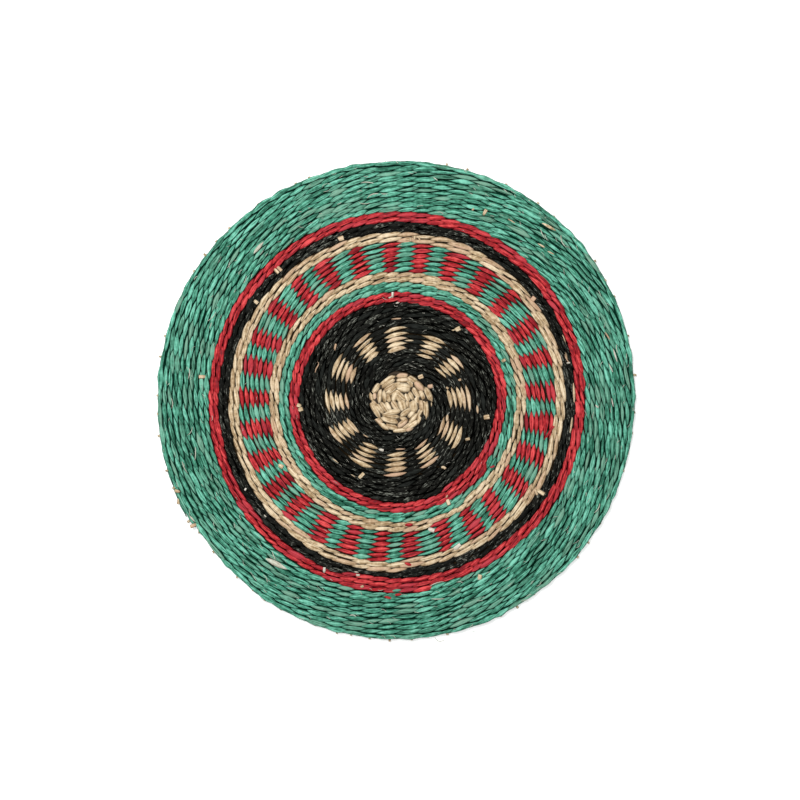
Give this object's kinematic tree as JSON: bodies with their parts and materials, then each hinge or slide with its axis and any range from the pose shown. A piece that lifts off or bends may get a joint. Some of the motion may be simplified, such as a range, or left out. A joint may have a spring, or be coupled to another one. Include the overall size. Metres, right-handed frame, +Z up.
{
  "type": "round seagrass placemat",
  "caption": "Round flat placemat twined from dyed seagrass in a spiral, with plain rings, a checked ring, a dashed dark field and a thick natural button in the middle.",
  "frame": {"origin": "on the surface that the mat lies on, under the middle of its box", "axes": "+Z up out of the face shown in the picture, +Y to the top of the picture, +X to its right"},
  "size_m": [0.3796, 0.3796, 0.0064],
  "materials": {
    "green_seagrass": "dyed seagrass, slightly waxy",
    "natural_seagrass": "undyed seagrass, slightly waxy",
    "red_seagrass": "dyed seagrass, slightly waxy",
    "black_seagrass": "dyed seagrass, slightly waxy"
  },
  "bodies": {
    "root": {"mat": "green_seagrass"}
  },
  "joints": []
}
